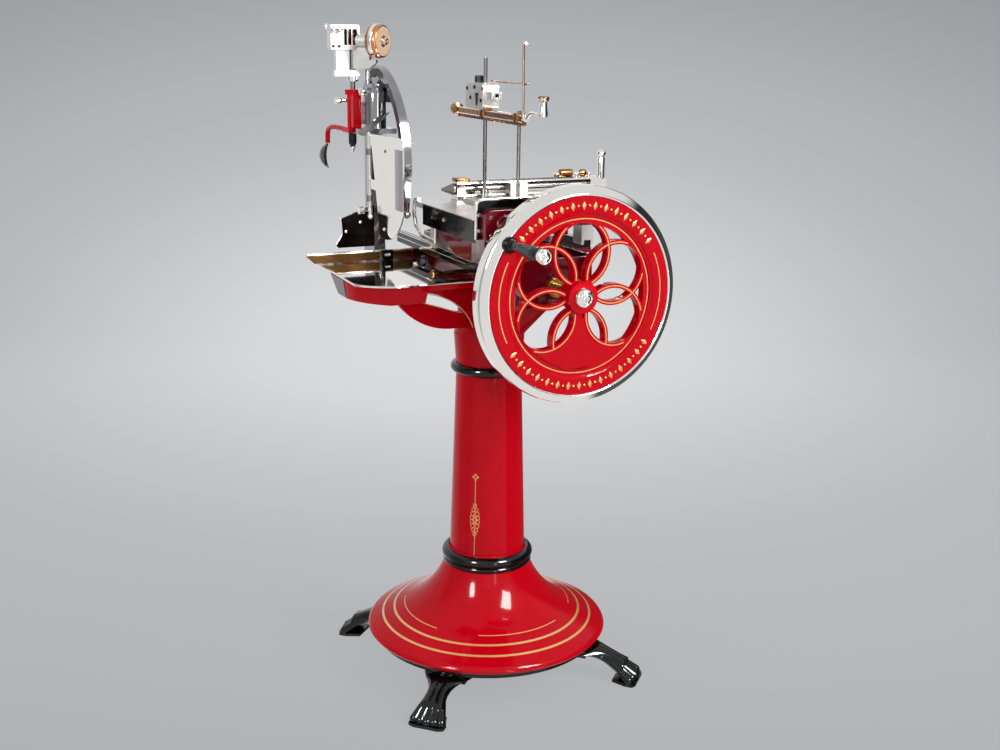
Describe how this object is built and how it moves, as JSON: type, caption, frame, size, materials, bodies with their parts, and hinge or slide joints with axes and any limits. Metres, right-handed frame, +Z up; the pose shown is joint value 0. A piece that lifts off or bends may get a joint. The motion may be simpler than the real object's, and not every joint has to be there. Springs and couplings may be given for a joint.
{
  "type": "hand crank meat slicer",
  "caption": "Free-standing hand-cranked meat slicer: a spoked flywheel turns a round blade and a crank under the sliding meat carriage, on a cast pedestal with claw feet.",
  "frame": {"origin": "on the floor under the axis of the pedestal's round column", "axes": "+Z up; -Y is the side of the flywheel and its grip, where the operator stands; +X is the right-hand side, away from the blade; the carriage slides along Y and the meat is fed along -X"},
  "size_m": [0.7155, 0.948, 1.514],
  "materials": {
    "red_enamel": "gloss red stove enamel on cast iron, lined in gold",
    "black_enamel": "gloss black enamel on cast iron",
    "bright_chrome": "bright nickel and chrome plate",
    "polished_steel": "ground and polished bare steel",
    "bearing_brass": "turned bearing brass",
    "stone_bronze": "copper-coloured cup around the grinding stone",
    "black_wood": "turned grip lacquered gloss black",
    "black_plastic": "gloss black knob"
  },
  "bodies": {
    "frame": {"claw_feet": "black_enamel", "foot_ring": "black_enamel", "pedestal_base": "red_enamel", "column_beads": "black_enamel", "column": "red_enamel", "column_head": "red_enamel", "bed_frame": "red_enamel", "slide_rails": "polished_steel", "bed_bolts": "polished_steel", "shaft_bearings": "bearing_brass", "crank_bridge": "polished_steel", "chain_case": "red_enamel", "drive_chain": "polished_steel", "blade_guard": "bright_chrome", "guard_column": "bright_chrome", "sharpener_bracket": "red_enamel", "scale_plate": "bright_chrome", "rear_guard": "red_enamel", "tray_tub": "red_enamel", "shield_plate": "polished_steel"},
    "flywheel": {"flywheel_web": "red_enamel", "flywheel_rim": "bright_chrome", "hub_cap": "bright_chrome", "main_shaft": "polished_steel", "drive_gears": "polished_steel", "grip_pin": "bright_chrome"},
    "grip": {"handle_grip": "black_wood", "grip_cap": "bright_chrome"},
    "crank_body": {"crank": "polished_steel", "crank_gear": "polished_steel"},
    "rod_body": {"connecting_rod": "polished_steel"},
    "cross_body": {"cross_shaft": "polished_steel", "cross_gear": "polished_steel", "lower_sprocket": "polished_steel"},
    "blade_body": {"blade": "bright_chrome", "blade_spindle": "polished_steel", "upper_sprocket": "polished_steel"},
    "carriage": {"carriage_frame": "polished_steel", "end_cheek": "bright_chrome", "feed_gearbox": "red_enamel", "guard_strap": "bright_chrome", "feed_rail": "bright_chrome"},
    "screw_body": {"feed_screw": "polished_steel", "feed_crank": "bright_chrome"},
    "table_body": {"meat_table": "bright_chrome", "clamp_posts": "bright_chrome"},
    "clamp": {"clamp_block": "bright_chrome", "clamp_beam": "polished_steel", "clamp_rod": "bright_chrome"},
    "clamp_lever_body": {"clamp_lever": "bright_chrome"},
    "clamp_knob_body": {"clamp_knob": "black_plastic"},
    "tray_body": {"tray": "bright_chrome"},
    "thickness_body": {"thickness_lever": "bright_chrome"},
    "deflector_body": {"deflector": "bright_chrome"},
    "sharpener_rod_body": {"sharpener_rod": "bright_chrome"},
    "sharpener_head_body": {"sharpener_head": "bright_chrome"},
    "stone_body": {"sharpener_stone": "stone_bronze"},
    "sharpener_lever_body": {"sharpener_lever": "bright_chrome"},
    "thumbscrew_body": {"bracket_thumbscrew": "bright_chrome"},
    "pointer_body": {"pointer_lever": "bright_chrome"}
  },
  "joints": [
    {"name": "flywheel_turn", "type": "hinge", "parent": "frame", "child": "flywheel", "pos_m": [0.0436, -0.36, 0.9709], "axis": [0, 1, 0], "continuous": true},
    {"name": "grip_spin", "type": "hinge", "parent": "flywheel", "child": "grip", "pos_m": [-0.12534, -0.435, 1.09052], "axis": [0, 1, 0], "continuous": true},
    {"name": "crank_turn", "type": "hinge", "parent": "frame", "child": "crank_body", "pos_m": [0.0436, 0.06, 1.03], "axis": [0, 0, 1], "continuous": true},
    {"name": "rod_turn", "type": "hinge", "parent": "crank_body", "child": "rod_body", "pos_m": [0.0436, -0.055, 1.049], "axis": [0, 0, 1], "continuous": true},
    {"name": "cross_turn", "type": "hinge", "parent": "frame", "child": "cross_body", "pos_m": [-0.05, 0.221, 0.9709], "axis": [1, 0, 0], "continuous": true},
    {"name": "blade_turn", "type": "hinge", "parent": "frame", "child": "blade_body", "pos_m": [-0.17, 0.221, 1.144], "axis": [1, 0, 0], "continuous": true},
    {"name": "carriage_slide", "type": "slide", "parent": "frame", "child": "carriage", "axis": [0, 1, 0], "range_m": [0, 0.23]},
    {"name": "screw_turn", "type": "hinge", "parent": "carriage", "child": "screw_body", "pos_m": [0.1, 0.056, 1.152], "axis": [1, 0, 0], "range_deg": [0, 8100]},
    {"name": "table_feed", "type": "slide", "parent": "carriage", "child": "table_body", "axis": [-1, 0, 0], "range_m": [0, 0.09]},
    {"name": "clamp_drop", "type": "slide", "parent": "table_body", "child": "clamp", "axis": [0, 0, -1], "range_m": [0, 0.12]},
    {"name": "clamp_lever_turn", "type": "hinge", "parent": "clamp", "child": "clamp_lever_body", "pos_m": [-0.003, -0.18, 1.325], "axis": [0, 1, 0], "range_deg": [0, 60]},
    {"name": "clamp_knob_turn", "type": "hinge", "parent": "clamp", "child": "clamp_knob_body", "pos_m": [-0.009, 0.05, 1.39], "axis": [0, 0, 1], "range_deg": [0, 360]},
    {"name": "tray_pull", "type": "slide", "parent": "frame", "child": "tray_body", "axis": [-1, 0, 0], "range_m": [0, 0.12]},
    {"name": "thickness_turn", "type": "hinge", "parent": "frame", "child": "thickness_body", "pos_m": [-0.1, -0.075, 0.986], "axis": [-1, 0, 0], "range_deg": [0, 60]},
    {"name": "deflector_swing", "type": "hinge", "parent": "frame", "child": "deflector_body", "pos_m": [-0.236, 0.15, 1.18], "axis": [0, 0, -1], "range_deg": [0, 75]},
    {"name": "sharpener_drop", "type": "slide", "parent": "frame", "child": "sharpener_rod_body", "axis": [0, 0, -1], "range_m": [-0.04, 0.008]},
    {"name": "sharpener_swivel", "type": "hinge", "parent": "sharpener_rod_body", "child": "sharpener_head_body", "pos_m": [-0.23, 0.276, 1.45], "axis": [0, 0, -1], "range_deg": [0, 90]},
    {"name": "stone_spin", "type": "hinge", "parent": "sharpener_head_body", "child": "stone_body", "pos_m": [-0.19224, 0.22937, 1.476], "axis": [0.6293, -0.7771, 0], "continuous": true},
    {"name": "sharpener_lever_turn", "type": "hinge", "parent": "sharpener_head_body", "child": "sharpener_lever_body", "pos_m": [-0.27, 0.29, 1.496], "axis": [0, 1, 0], "range_deg": [-45, 45]},
    {"name": "thumbscrew_turn", "type": "hinge", "parent": "frame", "child": "thumbscrew_body", "pos_m": [-0.25, 0.276, 1.34], "axis": [-1, 0, 0], "range_deg": [0, 360]},
    {"name": "pointer_turn", "type": "hinge", "parent": "frame", "child": "pointer_body", "pos_m": [-0.236, 0.195, 1.274], "axis": [0, 1, 0], "range_deg": [-10, 25]}
  ],
  "couplings": [
    {"joint": "crank_turn", "follows": "flywheel_turn", "ratio": 1},
    {"joint": "rod_turn", "follows": "flywheel_turn", "ratio": -1},
    {"joint": "cross_turn", "follows": "flywheel_turn", "ratio": -1},
    {"joint": "blade_turn", "follows": "flywheel_turn", "ratio": -2},
    {"joint": "screw_turn", "follows": "table_feed", "rad_per_m": 1570.8}
  ]
}
